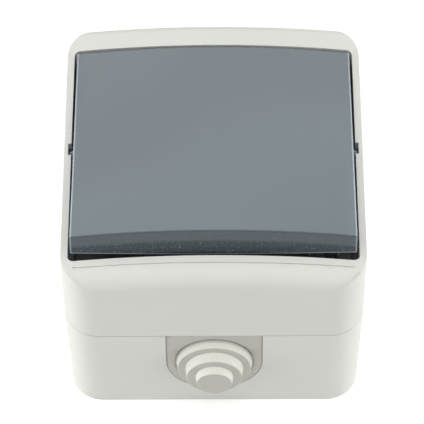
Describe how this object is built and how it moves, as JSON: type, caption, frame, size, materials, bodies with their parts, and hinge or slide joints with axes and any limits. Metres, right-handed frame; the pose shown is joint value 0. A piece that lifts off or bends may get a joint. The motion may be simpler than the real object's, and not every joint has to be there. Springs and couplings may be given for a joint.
{
  "type": "surface mounted light switch",
  "caption": "Splash-proof surface mounted light switch with a wide rocker, a grey housing, a stepped cable entry membrane and a change-over mechanism inside.",
  "frame": {"origin": "centre of the wall face of the base box", "axes": "+Z out of the front, +X across the width, +Y away from the cable entry"},
  "size_m": [0.066, 0.0765, 0.0546],
  "materials": {
    "shell": "satin light grey moulding",
    "shell_light": "satin light grey moulding",
    "rocker_grey": "smooth blue-grey moulding",
    "entry_grey": "soft grey elastomer",
    "seal_rubber": "black elastomer",
    "moulding_white": "plain white moulding",
    "brass": "bright brass strip",
    "silver": "silver contact metal",
    "steel": "zinc plated steel"
  },
  "bodies": {
    "housing": {"base_box": "shell_light", "box_seal": "seal_rubber", "cover": "shell", "well_seal": "seal_rubber", "cable_grommet": "entry_grey", "insert_body": "moulding_white", "insert_frame": "moulding_white", "fixed_contacts": "silver", "terminal_common": "brass", "terminal_one": "brass", "terminal_two": "brass", "clamp_cages": "steel", "terminal_screws": "steel", "insert_screws": "steel", "cover_screws": "steel"},
    "rocker": {"rocker": "rocker_grey"},
    "toggle": {"toggle": "moulding_white", "plunger": "moulding_white", "plunger_spring": "steel"},
    "contact": {"contact_rocker": "brass", "moving_contacts": "silver"}
  },
  "joints": [
    {"name": "rocker_tilt", "type": "hinge", "parent": "housing", "child": "rocker", "pos_m": [0, 0.001, 0.044], "axis": [1, 0, 0], "range_deg": [0, 10.6]},
    {"name": "toggle_swing", "type": "hinge", "parent": "housing", "child": "toggle", "pos_m": [0, 0.001, 0.028], "axis": [1, 0, 0], "range_deg": [-23.33, 0]},
    {"name": "contact_swing", "type": "hinge", "parent": "housing", "child": "contact", "pos_m": [0, 0.001, 0.0173], "axis": [1, 0, 0], "range_deg": [0, 12.01]}
  ],
  "couplings": [
    {"joint": "toggle_swing", "follows": "rocker_tilt", "ratio": -2.2},
    {"joint": "contact_swing", "follows": "rocker_tilt", "ratio": 1.132}
  ]
}
